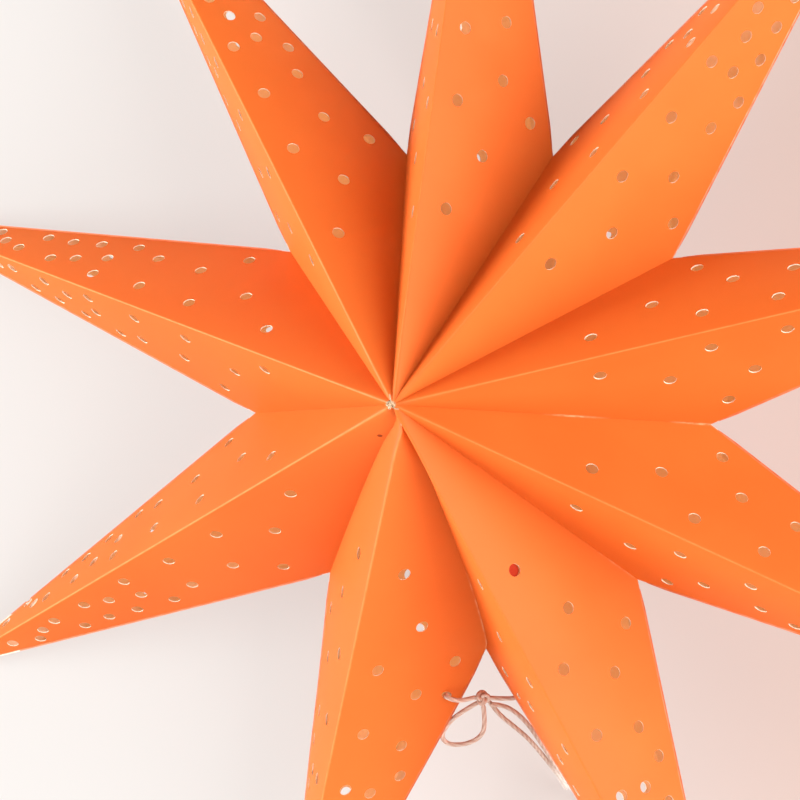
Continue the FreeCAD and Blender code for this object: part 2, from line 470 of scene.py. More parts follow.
    def triangles(self) -> tuple[np.ndarray, np.ndarray]:
        """Cut the net into triangles that keep every line.

        Returns:
            Flat vertices, and the vertex numbers of each triangle, counterclockwise.
        """
        chains = self.chains()
        points = np.vstack(chains + [self.grid()])
        starts = np.cumsum([0] + [len(chain) for chain in chains])
        links = np.vstack([
            np.column_stack([np.arange(first, last - 1), np.arange(first + 1, last)])
            for first, last in zip(starts[:-1], starts[1:]) if last - first > 1
        ])
        _, keep, number = np.unique(np.round(points / MM, 4), axis=0, return_index=True, return_inverse=True)
        points, links = points[keep], number.reshape(-1)[links]
        links = np.unique(np.sort(links[links[:, 0] != links[:, 1]], axis=1), axis=0)
        found = delaunay_2d_cdt([Vector(place) for place in points], links.tolist(), [], 0, 1e-8, False)
        flat = np.array([tuple(place) for place in found[0]])
        faces = np.array([tuple(face) for face in found[2]])
        faces = faces[self.covers(flat[faces].mean(axis=1))]
        first, second = flat[faces[:, 1]] - flat[faces[:, 0]], flat[faces[:, 2]] - flat[faces[:, 0]]
        faces = faces[np.abs(first[:, 0] * second[:, 1] - first[:, 1] * second[:, 0]) > self.least_area]
        used, numbers = np.unique(faces, return_inverse=True)
        return flat[used], numbers.reshape(-1, 3)


@dataclass(frozen=True)
class Bulges:
    """How far the two panels of every arm bulge, in millimetres, first the one before the ridge."""

    middle: tuple[tuple[float, float], ...] = (
        (0.8, 2.2), (1.0, 0.8), (-0.6, 1.2), (0.9, 0.6), (1.1, 0.4),
        (2.8, 1.0), (1.0, 0.7), (1.2, 0.9), (2.2, 1.0),
    )
    towards_tip: tuple[tuple[float, float], ...] = (
        (0.5, -0.9), (-0.4, 0.6), (0.7, -0.5), (0.4, 0.8), (-0.6, 0.5),
        (0.6, -0.7), (-0.5, 0.6), (0.5, 0.4), (-0.8, 0.5),
    )


@dataclass(frozen=True)
class Register:
    """How far the punched pattern is slipped in every panel, in millimetres, first the one before the
    ridge: along the ridge, its growth per 100 mm along, and across."""

    slips: tuple[tuple[tuple[float, float, float], tuple[float, float, float]], ...] = (
        ((1.8, 2.0, 1.0), (0.6, -0.7, -0.8)), ((-0.1, -1.0, 1.6), (-1.2, -1.6, -0.8)),
        ((-0.6, -0.7, -0.9), (-1.2, -1.2, -0.1)), ((-0.4, -1.8, 0.3), (0.1, -0.9, 1.6)),
        ((0.4, -0.9, -1.5), (0.0, 0.0, 0.0)), ((-0.5, -2.0, -1.4), (0.0, 0.0, 0.0)),
        ((1.0, -0.9, 0.0), (-1.1, 2.5, -1.2)), ((1.2, 2.0, 1.6), (-0.7, 3.6, -0.6)),
        ((-2.6, 5.0, 1.2), (-2.9, 3.1, 0.6)),
    )
    middle: float = 160.0
    last: float = 230.0

    def slipped(self, holes: np.ndarray, arm: int, half: int) -> np.ndarray:
        """Places of one panel's holes in the flat net, with the slip."""
        along, growth, across = self.slips[arm][half]
        reach = (np.minimum(holes[:, 0], self.last) - self.middle) / 100.0
        return holes + np.column_stack([along + growth * reach, np.full(len(holes), across)])


@dataclass(frozen=True)
class FoldWearAndHighlight:
    """How pale the folds are rubbed, with painted highlight as well on the ridges: every ridge, the side
    edges before and after it, and the dashes along the valleys, each with the panel's arm and hand, its start
    and end along the ridge in millimetres and its strength."""

    # Ridge paleness of every arm: partly rubbed, partly painted highlight.
    ridges: tuple[float, ...] = (0.15, 0.50, 0.55, 0.15, 0.25, 0.80, 1.00, 1.00, 0.75)
    sides: tuple[tuple[float, float], ...] = (
        (0.7, 0.6), (0.6, 0.5), (0.4, 0.3), (1.0, 0.7), (0.4, 0.5),
        (0.6, 0.3), (0.3, 0.5), (0.3, 0.5), (0.6, 0.5),
    )
    dashes: tuple[tuple[int, int, float, float, float], ...] = (
        (1, 1, 60.0, 75.0, 0.9), (1, 1, 108.0, 120.0, 1.0), (2, -1, 60.0, 75.0, 0.9),
        (2, -1, 106.0, 120.0, 1.0), (0, 1, 98.0, 120.0, 0.5), (8, 1, 82.0, 124.0, 0.9),
    )

    def amounts(self, arm: int, flat: np.ndarray) -> np.ndarray:
        """How rubbed the side edge and the valley are at flat points, and how pale the ridge is, partly
        rubbed and partly painted highlight, between 0 and 1.
        """
        result = np.zeros((len(flat), 3))
        after = flat[:, 1] >= 0
        result[:, 0] = self.ridges[arm]
        result[:, 1] = np.where(after, self.sides[arm][1], self.sides[arm][0])
        for owner, hand, start, end, strength in self.dashes:
            if owner == arm:
                along = flat[:, 0] / MM
                inside = smooth_step(along, start - 3, start + 3) * (1 - smooth_step(along, end - 3, end + 3))
                result[:, 2] += np.where(after == (hand > 0), strength * inside, 0.0)
        return result


@dataclass
class FoldedSheet:
    """One folded and punched sheet of an arm, with its glue flaps."""

    layout: StarLayout
    arm: int
    side: Side
    paper: float = 0.0005
    flap_width: float = 0.008
    flap_start: float = 0.014
    hole_radius: float = 0.00265
    ridge_round: float = 0.0008
    centre_round: float = 0.0026
    centre_reach: float = 0.022
    crisp_angle: float = 35.0
    cord_hole: float = 0.0030
    cord_hole_along: float = 0.025
    cord_hole_inset: float = 0.0045
    light_holes: tuple[tuple[float, float], ...] = (
        (83.0, 14.5), (109.0, 28.5), (129.0, 13.0), (129.0, 50.5), (143.0, 34.0),
        (160.0, 12.3), (168.0, 32.0), (183.5, 34.5), (187.5, 9.5), (190.5, 21.5),
        (202.0, 28.5), (204.5, 14.5), (216.0, 23.8), (216.0, 9.5), (230.0, 21.0),
        (237.0, 8.8), (247.5, 10.2), (255.0, 14.3), (268.0, 8.0), (280.0, 5.0),
    )
    bulges: Bulges = field(default_factory=Bulges)
    register: Register = field(default_factory=Register)
    wear_and_highlight: FoldWearAndHighlight = field(default_factory=FoldWearAndHighlight)
    pressed_hole: tuple[int, int, int] = (0, 1, 0)
    pressed_depth: float = 0.0011
    proud: float = 0.0006
    proud_reach: float = 0.006

    def name(self) -> str:
        """Name of the sheet's node."""
        return f"arm_{self.arm + 1}_{self.side.name.lower()}"

    def corners(self) -> tuple[np.ndarray, np.ndarray, np.ndarray, np.ndarray]:
        """Centre, tip, and the valley corners before and after the ridge."""
        layout = self.layout
        return (
            np.array([0.0, 0.0, self.side.value * layout.half_depth]),
            polar(layout.tip_radius, layout.bearings()[self.arm]),
            layout.corner_after(self.arm - 1 if self.arm else self.last_arm()),
            layout.corner_after(self.arm),
        )

    def last_arm(self) -> int:
        """Number of the last arm, which the tied seam follows."""
        return len(self.layout.ridge_gaps)

    def panels(self) -> tuple[Panel, Panel]:
        """The two panels, before and after the ridge."""
        centre, tip, before, after = self.corners()
        middle = np.array(self.bulges.middle[self.arm]) * MM
        lean = np.array(self.bulges.towards_tip[self.arm]) * MM
        return (
            Panel(centre, tip, before, after, -1, middle[0], lean[0]),
            Panel(centre, tip, after, before, 1, middle[1], lean[1]),
        )

    def flaps(self, panel: Panel) -> tuple[Flap, Flap]:
        """The side flap and the valley flap of one panel, with slanted ends."""
        flat_tip = np.array([panel.ridge_length(), 0.0])
        flat_valley = panel.flat_valley()
        edge = panel.tip - panel.valley
        middle = unit(panel.tip)
        slant = math.acos(unit(edge).dot(middle))
        side = Flap(
            panel.valley, panel.tip, flat_valley, flat_tip, square_to(edge, -panel.valley),
            self.flap_width / 2, self.flap_width / math.sin(slant), self.flap_width,
        )
        down = np.array([0.0, 0.0, -float(self.side.value)])
        valley = Flap(
            panel.centre, panel.valley, np.zeros(2), flat_valley,
            square_to(panel.valley - panel.centre, down),
            self.flap_start, self.flap_width / 2, self.flap_width,
        )
        return side, valley

    def cord_rings(self, panel: Panel, side_flap: Flap) -> tuple[np.ndarray, np.ndarray]:
        """Outlines in the flat net of the hole for the tie cord, bored straight down through the folded
        sheet: first in the panel, where it is long, then in the side flap, where it is round."""
        edge = unit(side_flap.end - side_flap.corner)
        middle = side_flap.corner + edge * self.cord_hole_along + side_flap.inward * self.cord_hole_inset
        turns = np.linspace(0.0, 2 * math.pi, 21)
        ring = middle + self.cord_hole / 2 * np.column_stack([np.cos(turns), np.sin(turns), 0 * turns])
        frame_of_panel = np.column_stack([panel.along()[:2], panel.across()[:2]])
        on_panel = np.linalg.solve(frame_of_panel, (ring - panel.centre)[:, :2].T).T
        reach = ring - side_flap.corner
        on_flap = (
            side_flap.flat_corner + np.outer(reach @ edge, side_flap.along())
            + np.outer(reach @ side_flap.inward, side_flap.outward())
        )
        return on_panel * np.array([1, panel.hand]), on_flap

    def net(self) -> PunchedNet:
        """The flat net of this sheet."""
        panels = self.panels()
        flaps = tuple(flap for panel in panels for flap in self.flaps(panel))
        pattern = np.array(self.light_holes)
        holes = np.vstack([
            self.register.slipped(pattern, self.arm, half) * np.array([1, panel.hand]) * MM
            for half, panel in enumerate(panels)
        ])
        rings: tuple[np.ndarray, ...] = ()
        if self.arm == 0:
            rings = self.cord_rings(panels[0], flaps[0])
        elif self.arm == self.last_arm():
            rings = self.cord_rings(panels[1], flaps[2])
        return PunchedNet(panels, flaps, self.layout.centre_bore, self.hole_radius, holes, rings)

    def round_of_fold(self, along: np.ndarray) -> np.ndarray:
        """Half width of the rounded fold: narrow, and growing near the centre as e to the minus reach."""
        return self.ridge_round + self.centre_round * np.exp(-along / self.centre_reach)

    def folded(self, net: PunchedNet, flat: np.ndarray) -> np.ndarray:
        """Fold flat points into the star's own frame.

        Away from the ridge a point lies at its distance from it in its own panel. Within the round of the
        fold, both panels share the point: each takes (distance + round) squared over four rounds, which
        makes the section a parabola that meets both panels smoothly. The bulge is added square to the
        panel. Points beyond an edge lie on the flap that is folded in there.
        """
        before, after = net.panels
        spread = self.round_of_fold(flat[:, 0])
        parts = []
        for panel in (before, after):
            reach = flat[:, 1] * panel.hand
            shared = (reach + spread) ** 2 / (4 * spread)
            parts.append(np.where(reach > spread, reach, np.where(reach < -spread, 0.0, shared)))
        places = (
            before.centre + np.outer(flat[:, 0], before.along())
            + np.outer(parts[0], before.across()) + np.outer(parts[1], after.across())
        )
        for panel in (before, after):
            own = flat[:, 1] * panel.hand > 0
            places[own] += np.outer(panel.swell(flat[own]), panel.normal())
        for flap in net.flaps[1::2] + net.flaps[0::2]:
            own = (flap.beyond(flat) > 1e-6) & (flat[:, 1] * flap.outward()[1] > 0)
            places[own] = flap.folded(flat[own])
        if self.side is Side.BACK:
            places += self.edge_shift(net, flat)
        return places

    def edge_shift(self, net: PunchedNet, flat: np.ndarray) -> np.ndarray:
        """Shift of a back sheet, whose side edges stand a little proud of the front sheet's: it is full
        at the side edge, and falls to nothing over a reach on both sides of it, beside the ridge and at
        the valley corner."""
        shift = np.zeros((len(flat), 3))
        for half, side in enumerate(net.flaps[0::2]):
            own = flat[:, 1] * net.panels[half].hand > 0
            near = 1.0 - smooth_step(np.abs(side.beyond(flat[own])), 0.0, self.proud_reach)
            near = near * smooth_step(np.abs(flat[own, 1]), 0.0, self.proud_reach)
            along = (flat[own] - side.flat_corner) @ side.along()
            near = near * smooth_step(along, 0.0, 2 * self.proud_reach)
            shift[own] = np.outer(self.proud * near, -side.inward)
        return shift

    def distances(self, net: PunchedNet, flat: np.ndarray) -> np.ndarray:
        """Distances of flat points from the ridge, the side edge and the valley edge, in millimetres."""
        result = np.zeros((len(flat), 3))
        result[:, 0] = np.abs(flat[:, 1])
        for half in (0, 1):
            side, valley = net.flaps[2 * half], net.flaps[2 * half + 1]
            own = flat[:, 1] * net.panels[half].hand >= 0
            result[own, 1] = -side.beyond(flat[own])
            result[own, 2] = -valley.beyond(flat[own])
        return result / MM

    def thicken(self, sheet: bpy.types.Object) -> None:
        """Give the sheet its thickness inward, and keep its folds and cut edges crisp."""
        wall = sheet.modifiers.new("paper", "SOLIDIFY")
        wall.thickness = self.paper
        wall.offset = -1.0
        wall.material_offset = 1
        wall.material_offset_rim = 2
        thick = bpy.data.meshes.new_from_object(sheet.evaluated_get(bpy.context.evaluated_depsgraph_get()))
        sheet.modifiers.remove(wall)
        thin = sheet.data
        sheet.data = thick
        bpy.data.meshes.remove(thin)
        thick.name = sheet.name
        self.keep_to_side(thick)
        thick.shade_smooth()
        thick.set_sharp_from_angle(angle=math.radians(self.crisp_angle))

    def keep_to_side(self, mesh: bpy.types.Mesh) -> None:
        """Keep the paper on its own side of the mid-plane: at the tip, where both sheets are pinched
        together, the height over the mid-plane is never less than nothing."""
        turn, shift = self.layout.ground_turn()
        points = np.empty(3 * len(mesh.vertices))
        mesh.vertices.foreach_get("co", points)
        star = (points.reshape(-1, 3) - shift) @ turn
        star[:, 2] = self.side.value * np.maximum(self.side.value * star[:, 2], 0.0)
        mesh.vertices.foreach_set("co", self.layout.lay_down(star).ravel())
        mesh.update()

    def with_pressed_disc(self, net: PunchedNet, flat: np.ndarray, faces: np.ndarray,
                          places: np.ndarray) -> tuple[np.ndarray, np.ndarray, np.ndarray]:
        """Add the cut-out disc that still hangs behind one light hole.

        Args:
            net: flat net of the sheet.
            flat: flat vertices.
            faces: vertex numbers of each triangle.
            places: folded vertices.

        Returns:
            Flat vertices, faces and folded vertices, with the disc's at the end.
        """
        _, half, hole = self.pressed_hole
        middle = net.holes[half * len(self.light_holes) + hole]
        turns = np.linspace(0.0, 2 * math.pi, net.hole_sides, endpoint=False)
        ring = middle + net.hole_radius * np.column_stack([np.cos(turns), np.sin(turns)])
        disc = np.vstack([middle, ring])
        number = np.arange(net.hole_sides)
        first = len(flat)
        fan = np.column_stack([
            np.full(net.hole_sides, first), first + 1 + number, first + 1 + (number + 1) % net.hole_sides,
        ])
        panel = net.panels[half]
        down = self.folded(net, disc) - self.pressed_depth * panel.normal()
        return np.vstack([flat, disc]), np.vstack([faces, fan]), np.vstack([places, down])

    def build(self, outside: bpy.types.Material, inside: bpy.types.Material,
              core: bpy.types.Material, pressed: bpy.types.Material) -> bpy.types.Object:
        """Cut, fold and thicken the sheet and give its faces their papers.

        Args:
            outside: finish of the face that shows.
            inside: finish of the face in the hollow of the arm.
            core: finish of the cut edges and the punched rims.
            pressed: finish of a cut-out disc behind its hole, coloured dark red as painted shade for the
                shade it lies in.

        Returns:
            The finished sheet, laid down with the star.
        """
        net = self.net()
        flat, faces = net.triangles()
        sheet_faces = len(faces)
        places = self.folded(net, flat)
        if (self.arm, self.side) == (self.pressed_hole[0], Side.FRONT):
            flat, faces, places = self.with_pressed_disc(net, flat, faces, places)
        points = self.layout.lay_down(ClosingPull(self.layout).moved(places, self.arm, self.side))
        if self.side is Side.BACK:
            faces = faces[:, ::-1]
        sheet = add_mesh(f"{self.name()}_sheet", points, faces)
        mesh = sheet.data
        layer = mesh.attributes.new("fold_distance", "FLOAT_VECTOR", "POINT")
        layer.data.foreach_set("vector", self.distances(net, flat).ravel())
        # Rubbed folds, with painted highlight on the ridges.
        worn = mesh.attributes.new("fold_wear_and_highlight", "FLOAT_VECTOR", "POINT")
        worn.data.foreach_set("vector", self.wear_and_highlight.amounts(self.arm, flat).ravel())
        corner = np.empty(len(mesh.loops), dtype=np.int32)
        mesh.loops.foreach_get("vertex_index", corner)
        shift = np.array([self.arm * 0.37, 0.5 + 0.31 * self.side.value])
        mesh.uv_layers.new(name="net").data.foreach_set("uv", (flat[corner] + shift).ravel())
        for finish in (outside, inside, core, pressed):
            mesh.materials.append(finish)
        slots = np.zeros(len(faces), dtype=np.int32)
        slots[sheet_faces:] = 3
        mesh.polygons.foreach_set("material_index", slots)
        self.thicken(sheet)
        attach(sheet, BODY)
        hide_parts(self.name())
        return sheet


class NodeTree:
    """Short way to write a material's nodes."""

    def __init__(self, name: str) -> None:
        """Start a material with an empty node tree."""
        self.material = bpy.data.materials.new(name)
        self.material.use_nodes = True
        self.tree = self.material.node_tree
        self.tree.nodes.clear()
        self.output = self.tree.nodes.new("ShaderNodeOutputMaterial")

    def add(self, kind: str, **values: object) -> bpy.types.Node:
        """Add a node and set its own properties."""
        node = self.tree.nodes.new(kind)
        for key, value in values.items():
            setattr(node, key, value)
        return node

    def link(self, source: bpy.types.NodeSocket, target: bpy.types.NodeSocket) -> None:
        """Join an output to an input."""
        self.tree.links.new(source, target)

    def feed(self, target: bpy.types.NodeSocket, value: object) -> None:
        """Link a socket, or set a plain value."""
        if isinstance(value, bpy.types.NodeSocket):
            self.link(value, target)
        else:
            target.default_value = value

    def noise(self, where: object, scale: float, detail: float = 3.0, rough: float = 0.5) -> object:
        """Noise between 0 and 1 at a place."""
        node = self.add("ShaderNodeTexNoise")
        self.feed(node.inputs["Vector"], where)
        node.inputs["Scale"].default_value = scale
        node.inputs["Detail"].default_value = detail
        node.inputs["Roughness"].default_value = rough
        return node.outputs["Fac"]

    def ramp(self, value: object, low: float, high: float, start: float = 0.0, end: float = 1.0) -> object:
        """Smooth ramp of a value between two limits."""
        node = self.add("ShaderNodeMapRange", interpolation_type="SMOOTHSTEP")
        self.feed(node.inputs["Value"], value)
        for socket, number in zip(("From Min", "From Max", "To Min", "To Max"), (low, high, start, end)):
            node.inputs[socket].default_value = number
        return node.outputs["Result"]

    def maths(self, operation: str, first: object, second: object = 0.0) -> object:
        """One sum of two values."""
        node = self.add("ShaderNodeMath", operation=operation)
        self.feed(node.inputs[0], first)
        self.feed(node.inputs[1], second)
        return node.outputs[0]

    def mix(self, share: object, first: object, second: object) -> object:
        """Colour between two colours."""
        node = self.add("ShaderNodeMix", data_type="RGBA")
        self.feed(node.inputs[0], share)
        for socket, colour in ((node.inputs[6], first), (node.inputs[7], second)):
            self.feed(socket, (*colour, 1.0) if isinstance(colour, tuple) else colour)
        return node.outputs[2]

    def product(self, *values: object) -> object:
        """Product of several values."""
        result = values[0]
        for value in values[1:]:
            result = self.maths("MULTIPLY", result, value)
        return result

    def parts(self, name: str) -> list[bpy.types.NodeSocket]:
        """Three parts of an attribute of the mesh."""
        source = self.add("ShaderNodeAttribute", attribute_name=name)
        split = self.add("ShaderNodeSeparateXYZ")
        self.link(source.outputs["Vector"], split.inputs[0])
        return list(split.outputs)

    def bump(self, height: object, strength: float, distance: float) -> object:
        """Normal with a fine relief."""
        node = self.add("ShaderNodeBump")
        node.inputs["Strength"].default_value = strength
        node.inputs["Distance"].default_value = distance
        self.feed(node.inputs["Height"], height)
        return node.outputs["Normal"]

    def principled(self, colour: object, roughness: float, specular: float, normal: object = None) -> object:
        """Main surface shader."""
        node = self.add("ShaderNodeBsdfPrincipled")
        self.feed(node.inputs["Base Color"], (*colour, 1.0) if isinstance(colour, tuple) else colour)
        node.inputs["Roughness"].default_value = roughness
        node.inputs["Specular IOR Level"].default_value = specular
        if normal is not None:
            self.link(normal, node.inputs["Normal"])
        return node.outputs[0]

    def see_through(self, surface: object, colour: tuple[float, float, float], share: float) -> object:
        """Surface that lets a share of the light through."""
        glow = self.add("ShaderNodeBsdfTranslucent")
        glow.inputs["Color"].default_value = (*colour, 1.0)
        both = self.add("ShaderNodeMixShader")
        both.inputs[0].default_value = share
        self.link(surface, both.inputs[1])
        self.link(glow.outputs[0], both.inputs[2])
        return both.outputs[0]

    def finish(self, surface: object) -> bpy.types.Material:
        """Join the surface to the output."""
        self.link(surface, self.output.inputs["Surface"])
        return self.material


@dataclass(frozen=True)
class LanternPaper:
    """Orange paper with a pale core. Its colours are linear, and the speck's place and size are in
    metres on the net."""

    face: tuple[float, float, float] = (0.81, 0.152, 0.022)
    face_warm: tuple[float, float, float] = (0.83, 0.166, 0.026)
    face_deep: tuple[float, float, float] = (0.79, 0.141, 0.019)
    # Partly painted highlight: the ridge line is paler partly from rubbing and partly for light caught on the
    # rounded fold.
    ridge_wear_and_highlight: tuple[float, float, float] = (1.0, 0.31, 0.090)
    worn: tuple[float, float, float] = (0.90, 0.42, 0.27)
    rubbed: tuple[float, float, float] = (0.95, 0.50, 0.26)
    speck: tuple[float, float, float] = (0.20, 0.010, 0.002)
    speck_place: tuple[float, float] = (7 * 0.37 + 0.0205, 0.81 + 0.0094)
    speck_size: tuple[float, float] = (0.0007, 0.0011)
    glow: tuple[float, float, float] = (1.0, 0.52, 0.21)
    inside: tuple[float, float, float] = (0.95, 0.89, 0.77)
    inside_glow: tuple[float, float, float] = (0.97, 0.95, 0.90)
    core: tuple[float, float, float] = (0.94, 0.85, 0.70)
    # Painted light: a faint glow of the inner face, which shines though no lamp is there.
    inside_painted_glow: tuple[float, float, float] = (0.10, 0.062, 0.020)
    # Painted shade: the cut-out disc's orange, darkened to the deep red it shows in the shade behind its
    # hole.
    disc_painted_shade: tuple[float, float, float] = (0.42, 0.024, 0.004)
    share_through: float = 0.30
    inside_through: float = 0.50
    roughness: float = 0.58
    specular: float = 0.28

    def outside(self) -> bpy.types.Material:
        """Printed face: fibres, slight clouds, rubbed folds with painted highlight along the ridges, and one
        small dark speck.
        """
        tree = NodeTree("orange_paper_face")
        place = tree.add("ShaderNodeUVMap", uv_map="net").outputs[0]
        ridge, side, valley = tree.parts("fold_distance")
        ridge_wear_and_highlight_share, side_wear, valley_wear = tree.parts("fold_wear_and_highlight")
        clouds = tree.noise(place, 14.0, 4.0)
        fibres = tree.noise(place, 900.0, 5.0, 0.65)
        breaks = tree.noise(place, 180.0, 3.0)
        colour = tree.mix(tree.ramp(clouds, 0.35, 0.65), self.face_deep, self.face_warm)
        colour = tree.mix(tree.ramp(fibres, 0.30, 0.72, 0.0, 0.6), colour, self.face)
        # Ridge line: partly rubbed, partly painted highlight along the rounded fold.
        ridge_wear_and_highlight_mask = tree.product(tree.ramp(ridge, 0.30, 0.80, 1.0, 0.0), ridge_wear_and_highlight_share,
                                tree.ramp(breaks, 0.25, 0.60, 0.45, 0.85))
        colour = tree.mix(ridge_wear_and_highlight_mask, colour, self.ridge_wear_and_highlight)
        on_side = tree.product(tree.ramp(side, 0.15, 0.70, 1.0, 0.0), side_wear,
                               tree.ramp(breaks, 0.30, 0.62, 0.3, 1.0))
        colour = tree.mix(on_side, colour, self.worn)
        on_valley = tree.product(tree.ramp(valley, 0.25, 0.85, 1.0, 0.0), valley_wear,
                                 tree.ramp(breaks, 0.35, 0.60, 0.1, 1.0))
        colour = tree.mix(on_valley, colour, self.rubbed)
        away = tree.add("ShaderNodeVectorMath", operation="DISTANCE")
        tree.link(place, away.inputs[0])
        away.inputs[1].default_value = (*self.speck_place, 0.0)
        colour = tree.mix(tree.ramp(away.outputs["Value"], *self.speck_size, 1.0, 0.0), colour, self.speck)
        relief = tree.maths("ADD", fibres, tree.maths("MULTIPLY", clouds, 2.0))
        normal = tree.bump(relief, 0.12, 0.00015)
        surface = tree.principled(colour, self.roughness, self.specular, normal)
        return tree.finish(tree.see_through(surface, self.glow, self.share_through))

    def plain(self, name: str, colour: tuple[float, float, float], share: float,
              light: tuple[float, float, float] = (0.0, 0.0, 0.0)) -> bpy.types.Material:
        """Uncoloured paper of the inner face or of the cut edge.

        Args:
            name: name of the material.
            colour: its colour.
            share: share of the light that comes through it.
            light: faint painted glow of its own, standing in for the light that the thin paper passes on
                inside the hollow.

        Returns:
            The material.
        """
        tree = NodeTree(name)
        place = tree.add("ShaderNodeTexCoord").outputs["Object"]
        fibres = tree.noise(place, 900.0, 4.0, 0.6)
        tint = tuple(0.90 * part for part in colour)
        mixed = tree.mix(tree.ramp(fibres, 0.3, 0.7), tint, colour)
        surface = tree.principled(mixed, 0.8, 0.2, tree.bump(fibres, 0.1, 0.0001))
        shader = surface.node
        # Painted light: the face glows by itself, in place of light passed on through the paper.
        shader.inputs["Emission Color"].default_value = (*light, 1.0)
        shader.inputs["Emission Strength"].default_value = 1.0 / (1.0 - share)
        return tree.finish(tree.see_through(surface, self.inside_glow, share))


@dataclass(frozen=True)
class TwistedCotton:
    """Twisted cotton of the tie cord and the thread, paler where its cut ends lie on the ground."""

    light: tuple[float, float, float] = (0.80, 0.64, 0.54)
    dark: tuple[float, float, float] = (0.64, 0.43, 0.34)
    pale_end: tuple[float, float, float] = (0.90, 0.84, 0.78)
    low: tuple[float, float] = (0.008, 0.030)
    roughness: float = 0.85

    def material(self, name: str) -> bpy.types.Material:
        """Fibres along the cord, with painted shade that makes it darker between its strands, and paler near
        the ground.
        """
        tree = NodeTree(name)
        place = tree.add("ShaderNodeTexCoord").outputs["Object"]
        fibres = tree.noise(place, 1500.0, 4.0, 0.6)
        depth = tree.add("ShaderNodeAttribute", attribute_name="strand").outputs["Fac"]
        # Painted shade: darker colour in the grooves between the strands.
        colour = tree.mix(tree.ramp(depth, 0.0, 1.0), self.dark, self.light)
        colour = tree.mix(tree.ramp(fibres, 0.2, 0.8, 0.0, 0.35), colour, self.dark)
        height = tree.add("ShaderNodeSeparateXYZ")
        tree.link(place, height.inputs[0])
        colour = tree.mix(tree.ramp(height.outputs["Z"], *self.low, 0.8, 0.0), colour, self.pale_end)
        surface = tree.principled(colour, self.roughness, 0.2, tree.bump(fibres, 0.4, 0.0002))
        return tree.finish(surface)


TIE_COTTON = TwistedCotton()
THREAD_COTTON = TwistedCotton(light=(0.66, 0.52, 0.36), dark=(0.40, 0.24, 0.13))


@dataclass(frozen=True)
class TwistedCord:
    """A cord of three strands laid round each other."""

    diameter: float = 0.0020
    lay: float = 0.0052
    strands: int = 3
    groove: float = 0.13
    sides: int = 18
    step: float = 0.0004

    def line(self, route: np.ndarray) -> np.ndarray:
        """Even points on the smooth spline that has a route's points as its control points."""
        curve = bpy.data.curves.new("route", "CURVE")
        curve.dimensions = "3D"
        curve.resolution_u = 24
        spline = curve.splines.new("NURBS")
        spline.points.add(len(route) - 1)
        spline.points.foreach_set("co", np.column_stack([route, np.ones(len(route))]).ravel())
        spline.order_u = 3
        spline.use_endpoint_u = True
        carrier = bpy.data.objects.new("route", curve)
        mesh = bpy.data.meshes.new_from_object(carrier)
        points = np.empty(3 * len(mesh.vertices))
        mesh.vertices.foreach_get("co", points)
        points = points.reshape(-1, 3)
        bpy.data.meshes.remove(mesh)
        bpy.data.objects.remove(carrier)
        bpy.data.curves.remove(curve)
        runs = np.append(0.0, np.cumsum(np.linalg.norm(np.diff(points, axis=0), axis=1)))
        even = np.linspace(0.0, runs[-1], max(8, int(runs[-1] / self.step)))
        return np.column_stack([np.interp(even, runs, points[:, axis]) for axis in range(3)])

    def tube(self, name: str, line: np.ndarray, closed: bool = False) -> bpy.types.Object:
        """Carry the twisted section along a line.

        The radius is the cord's, less a groove that goes with the cosine of strands times the angle
        less the twist, and it closes in over the last diameter at each open end.

        Args:
            name: name of the piece.
            line: points of the centre line.
            closed: whether the line comes back to its start.

        Returns:
            The tube.
        """
        ways = np.gradient(line, axis=0)
        if closed:
            ways = np.roll(line, -1, axis=0) - np.roll(line, 1, axis=0)
        ways /= np.linalg.norm(ways, axis=1)[:, None]
        steady = np.linalg.svd(ways, full_matrices=False)[2][-1]
        first = np.cross(ways, steady)
        first /= np.linalg.norm(first, axis=1)[:, None]
        second = np.cross(ways, first)
        runs = np.append(0.0, np.cumsum(np.linalg.norm(np.diff(line, axis=0), axis=1)))
        angle = np.linspace(0.0, 2 * math.pi, self.sides, endpoint=False)
        twist = 2 * math.pi * runs / self.lay
        wave = np.cos(self.strands * (angle[None, :] - twist[:, None] / self.strands))
        radius = self.diameter / 2 * (1.0 - self.groove * (1.0 - wave) / 2)
        if not closed:
            ends = np.minimum(runs, runs[-1] - runs)
            radius = radius * np.sqrt(np.clip(ends / self.diameter + 0.35, 0.0, 1.0))[:, None]
        points = (
            line[:, None] + radius[..., None] * (
                np.cos(angle)[None, :, None] * first[:, None] + np.sin(angle)[None, :, None] * second[:, None]
            )
        ).reshape(-1, 3)
        rows = np.arange(len(line) if closed else len(line) - 1)[:, None] * self.sides
        round_to = np.arange(self.sides)[None, :]
        after = (round_to + 1) % self.sides
        further = (rows + self.sides) % (len(line) * self.sides)
        faces = np.stack([rows + round_to, rows + after, further + after, further + round_to], axis=-1)
        faces = faces.reshape(-1, 4)
        strand = ((wave + 1.0) / 2).ravel()
        piece = add_mesh(name, points, faces)
        if not closed:
            self.cap(piece, len(line))
        layer = piece.data.attributes.new("strand", "FLOAT", "POINT")
        layer.data.foreach_set("value", strand)
        piece.data.shade_smooth()
        return piece

    def cap(self, piece: bpy.types.Object, rows: int) -> None:
        """Close both ends of a tube with one face each."""
        mesh = piece.data
        points = np.empty(3 * len(mesh.vertices))
        mesh.vertices.foreach_get("co", points)
        faces = [tuple(face.vertices) for face in mesh.polygons]
        faces.append(tuple(range(self.sides))[::-1])
        faces.append(tuple(range((rows - 1) * self.sides, rows * self.sides)))
        mesh.clear_geometry()
        mesh.from_pydata(points.reshape(-1, 3).tolist(), [], faces)
        mesh.update()


